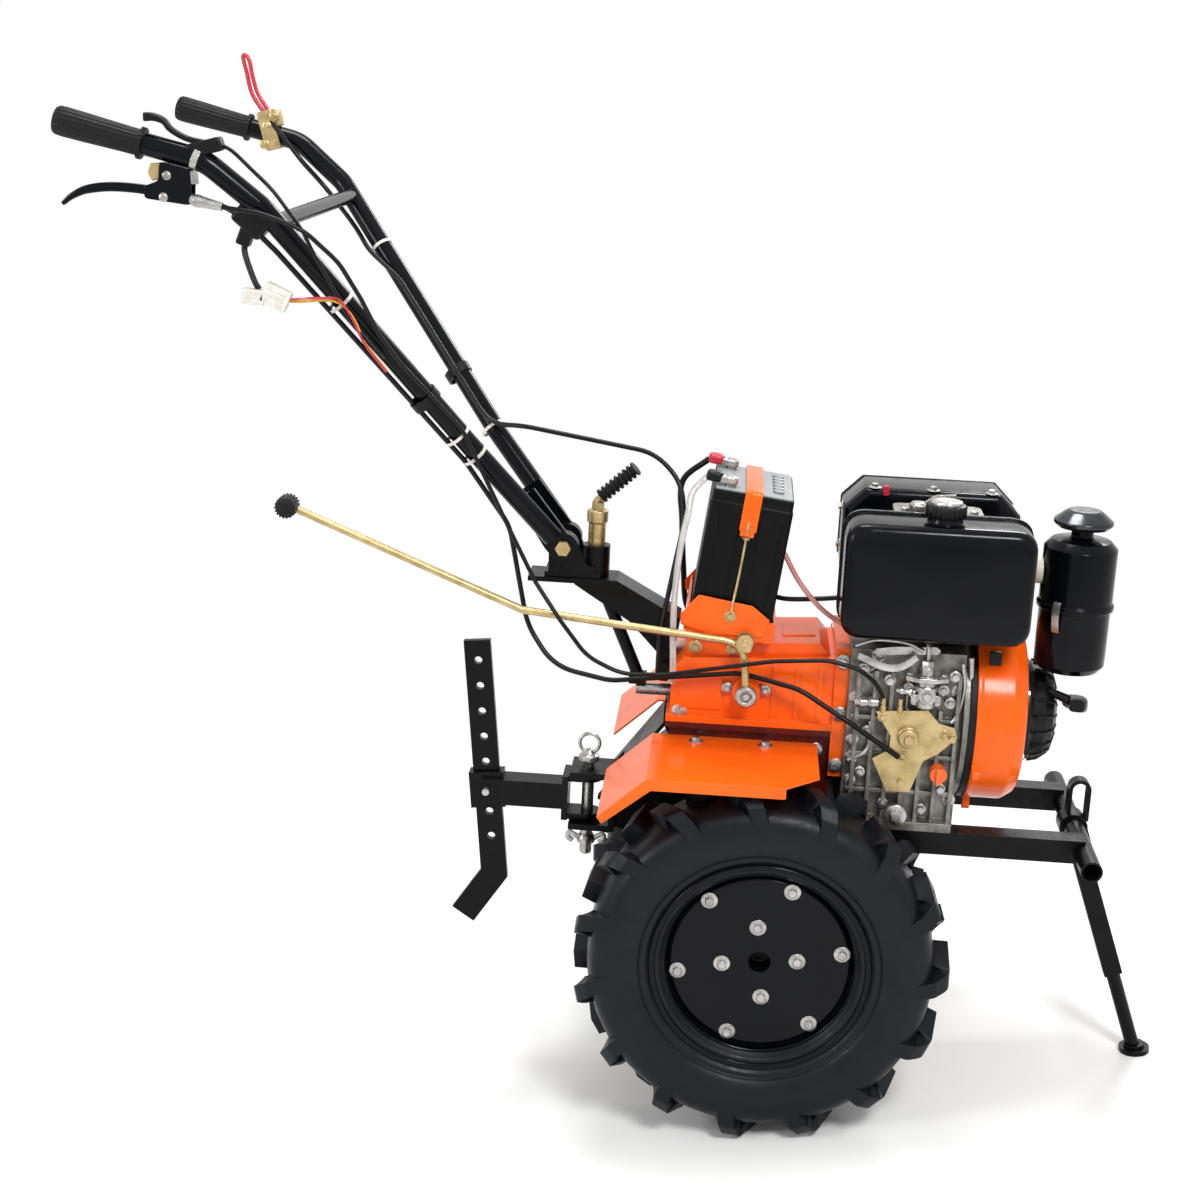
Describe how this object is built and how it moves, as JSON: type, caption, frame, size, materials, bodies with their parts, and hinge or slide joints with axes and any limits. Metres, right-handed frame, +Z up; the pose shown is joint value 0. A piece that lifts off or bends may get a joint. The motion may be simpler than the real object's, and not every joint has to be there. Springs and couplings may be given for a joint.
{
  "type": "walking tractor",
  "caption": "Two-wheeled walking tractor with an open single-cylinder diesel engine, lugged tyres, swivelling handlebar, rear drawbar with depth bar, and a folding front stand.",
  "frame": {"origin": "on the ground, below the middle of the parked machine's box", "axes": "+X forward, +Y to the machine's left, +Z up"},
  "size_m": [1.5832, 0.6678, 1.7096],
  "materials": {
    "orange_paint": "gloss",
    "orange_plastic": "gloss",
    "maroon_paint": "satin",
    "black_paint": "gloss",
    "cast_alloy": "cast",
    "yellow_zinc": "passivated",
    "bright_steel": "bright",
    "tyre": "matte",
    "rubber": "matte",
    "cable": "satin",
    "battery_case": "matte",
    "red_plastic": "gloss",
    "black_plastic": "satin"
  },
  "bodies": {
    "chassis": {"gearbox_upper": "orange_paint", "gearbox_lower": "maroon_paint", "gearbox_cover": "orange_paint", "clutch_housing": "orange_paint", "gear_lever": "yellow_zinc", "gear_knob": "rubber", "rear_shaft": "bright_steel", "right_fender": "orange_paint", "left_fender": "orange_paint", "rear_guard": "black_paint", "hitch_bracket": "black_paint", "hitch_pin": "bright_steel", "handle_arm": "black_paint", "clamp_post": "yellow_zinc", "battery_tray": "orange_paint", "battery": "battery_case", "battery_clamp": "orange_paint", "crankcase": "cast_alloy", "cylinder_block": "cast_alloy", "valve_cover": "cast_alloy", "control_plate": "yellow_zinc", "injection_pump": "bright_steel", "oil_cap": "orange_plastic", "fan_housing": "orange_paint", "recoil_starter": "black_plastic", "recoil_handle": "black_plastic", "fuel_tank": "black_paint", "fuel_cap": "black_plastic", "muffler": "black_paint", "air_filter": "black_paint", "filter_cup": "black_plastic", "inlet_pipe": "rubber", "frame": "black_paint", "bumper": "black_paint", "engine_cables": "cable", "lower_cables": "cable"},
    "right_wheel": {"right_tyre": "tyre", "right_rim": "black_paint", "right_hub": "black_paint"},
    "left_wheel": {"left_tyre": "tyre", "left_rim": "black_paint", "left_hub": "black_paint"},
    "stand": {"stand_leg": "black_paint", "stand_foot": "black_paint"},
    "swivel_head": {"swivel_head": "black_paint", "tilt_bolt": "bright_steel", "upper_cables": "cable"},
    "handlebar": {"handlebar": "black_paint", "right_grip": "rubber", "left_grip": "rubber", "clutch_lever": "black_paint", "throttle_lever": "red_plastic", "upper_lever": "black_paint", "handle_cables": "cable"},
    "drawbar": {"drawbar": "black_paint", "depth_bar": "black_paint", "lock_pin": "bright_steel"}
  },
  "joints": [
    {"name": "right_wheel_spin", "type": "hinge", "parent": "chassis", "child": "right_wheel", "pos_m": [0.14657, 0, 0.295], "axis": [0, 1, 0], "continuous": true},
    {"name": "left_wheel_spin", "type": "hinge", "parent": "chassis", "child": "left_wheel", "pos_m": [0.14657, 0, 0.295], "axis": [0, 1, 0], "continuous": true},
    {"name": "stand_fold", "type": "hinge", "parent": "chassis", "child": "stand", "pos_m": [0.6637, 0, 0.41259], "axis": [0, 1, 0], "range_deg": [0, 75]},
    {"name": "handlebar_swivel", "type": "hinge", "parent": "chassis", "child": "swivel_head", "pos_m": [-0.09382, 0, 0.86827], "axis": [0.1045, 0, 0.9945], "range_deg": [-30, 30], "deforming": ["lower_cables"]},
    {"name": "handlebar_tilt", "type": "hinge", "parent": "swivel_head", "child": "handlebar", "pos_m": [-0.13811, 0, 0.92521], "axis": [0, 1, 0], "range_deg": [-30, 10], "deforming": ["upper_cables"]},
    {"name": "drawbar_swing", "type": "hinge", "parent": "chassis", "child": "drawbar", "pos_m": [-0.13035, 0, 0.49203], "axis": [0.1045, 0, 0.9945], "range_deg": [-20, 20]}
  ]
}
